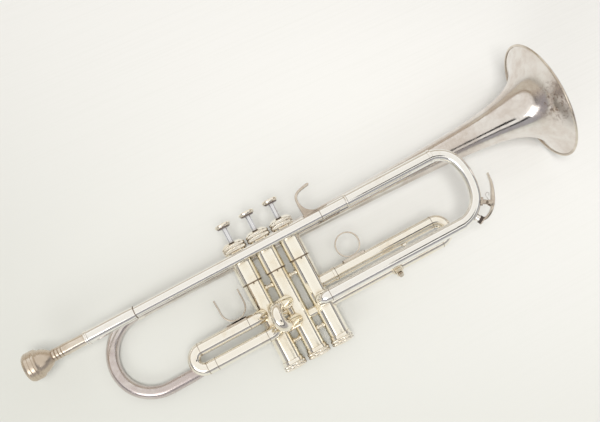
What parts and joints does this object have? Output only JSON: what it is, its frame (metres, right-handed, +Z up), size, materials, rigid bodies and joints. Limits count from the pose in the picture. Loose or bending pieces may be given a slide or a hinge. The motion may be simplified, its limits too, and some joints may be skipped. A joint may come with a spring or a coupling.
{
  "type": "trumpet",
  "caption": "Silver-plated B-flat piston-valve trumpet with a flared bell, straight leadpipe, valve slides, a tuning slide, water key and mouthpiece.",
  "frame": {"origin": "centre of the bounding box's bottom face, with the trumpet lying on its left side on a table", "axes": "+X from the mouthpiece towards the bell, +Y towards the finger buttons, +Z up, towards the trumpet's right side"},
  "size_m": [0.56, 0.1807, 0.1223],
  "materials": {
    "silver_plate": "silver plate over brass, bright, with a warm straw tarnish in the corners",
    "bell_silver": "silver plate with a thin mauve-grey tarnish",
    "mouthpiece_silver": "silver plate, duller, brown-grey tarnish",
    "piston_metal": "lapped nickel alloy, oiled",
    "spring_wire": "drawn spring wire",
    "felt": "pressed felt",
    "cork": "black cork pad"
  },
  "bodies": {
    "body": {"bell": "bell_silver", "bell_rim_wire": "bell_silver", "bell_bow": "bell_silver", "receiver": "silver_plate", "leadpipe": "silver_plate", "ring_ferrules": "silver_plate", "main_sleeve_upper": "silver_plate", "main_sleeve_lower": "silver_plate", "first_upper_tube": "silver_plate", "first_lower_sleeve": "silver_plate", "second_sleeves": "silver_plate", "third_tubes": "silver_plate", "lyre_holder": "silver_plate", "casing_1": "silver_plate", "casing_2": "silver_plate", "casing_3": "silver_plate", "upper_casings": "silver_plate", "top_caps": "silver_plate", "bottom_caps": "silver_plate", "valve_guides": "piston_metal", "crossovers": "silver_plate", "casing_braces": "silver_plate", "bell_braces": "silver_plate", "pinky_hook": "silver_plate", "valve_spring_1": "spring_wire", "valve_spring_2": "spring_wire", "valve_spring_3": "spring_wire"},
    "mouthpiece": {"mouthpiece": "mouthpiece_silver"},
    "main_slide": {"main_bow": "silver_plate", "main_slide_tubes": "silver_plate", "main_ferrules": "silver_plate", "water_key_nipple": "silver_plate", "water_key_post": "silver_plate", "water_key_screw": "silver_plate", "water_key_spring": "spring_wire"},
    "water_key": {"water_key_lever": "silver_plate", "water_key_cork": "cork"},
    "first_slide": {"first_bow": "silver_plate", "first_outer_tube": "silver_plate", "first_inner_tube": "silver_plate", "thumb_saddle": "silver_plate"},
    "second_slide": {"second_bow": "silver_plate", "second_tubes": "silver_plate"},
    "third_slide": {"third_outer_tubes": "silver_plate", "third_bow": "silver_plate", "third_ring": "silver_plate", "third_brace": "silver_plate"},
    "lyre_screw": {"lyre_screw": "silver_plate"},
    "valve_1": {"piston_1": "piston_metal", "stem_1": "silver_plate", "button_1": "silver_plate", "felts_1": "felt"},
    "valve_2": {"piston_2": "piston_metal", "stem_2": "silver_plate", "button_2": "silver_plate", "felts_2": "felt"},
    "valve_3": {"piston_3": "piston_metal", "stem_3": "silver_plate", "button_3": "silver_plate", "felts_3": "felt"}
  },
  "joints": [
    {"name": "mouthpiece_pull", "type": "slide", "parent": "body", "child": "mouthpiece", "axis": [-0.9941, 0, -0.1082], "range_m": [0, 0.023]},
    {"name": "main_slide_pull", "type": "slide", "parent": "body", "child": "main_slide", "axis": [0.9941, 0, 0.1082], "range_m": [0, 0.04]},
    {"name": "water_key_press", "type": "hinge", "parent": "main_slide", "child": "water_key", "pos_m": [0.16551, -0.04188, 0.07049], "axis": [-0.1049, -0.2446, 0.9639], "range_deg": [0, 15], "stiffness_Nm_per_rad": 0.06, "springref_deg": -34.38},
    {"name": "first_slide_pull", "type": "slide", "parent": "body", "child": "first_slide", "axis": [-0.9941, 0, -0.1082], "range_m": [0, 0.03]},
    {"name": "second_slide_pull", "type": "slide", "parent": "body", "child": "second_slide", "axis": [-0.5879, -0.2119, 0.7807], "range_m": [0, 0.011]},
    {"name": "third_slide_pull", "type": "slide", "parent": "body", "child": "third_slide", "axis": [0.9941, 0, 0.1082], "range_m": [0, 0.03]},
    {"name": "lyre_screw_turn", "type": "hinge", "parent": "body", "child": "lyre_screw", "pos_m": [0.06387, -0.05862, 0.04562], "axis": [-0.0555, -0.8586, 0.5096], "range_deg": [0, 360]},
    {"name": "valve_1_press", "type": "slide", "parent": "body", "child": "valve_1", "axis": [0.0265, -0.9696, -0.2432], "range_m": [0, 0.015], "stiffness_N_per_m": 70, "springref_m": -0.03, "deforming": ["valve_spring_1"]},
    {"name": "valve_2_press", "type": "slide", "parent": "body", "child": "valve_2", "axis": [0.0265, -0.9696, -0.2432], "range_m": [0, 0.015], "stiffness_N_per_m": 70, "springref_m": -0.03, "deforming": ["valve_spring_2"]},
    {"name": "valve_3_press", "type": "slide", "parent": "body", "child": "valve_3", "axis": [0.0265, -0.9696, -0.2432], "range_m": [0, 0.015], "stiffness_N_per_m": 70, "springref_m": -0.03, "deforming": ["valve_spring_3"]}
  ]
}
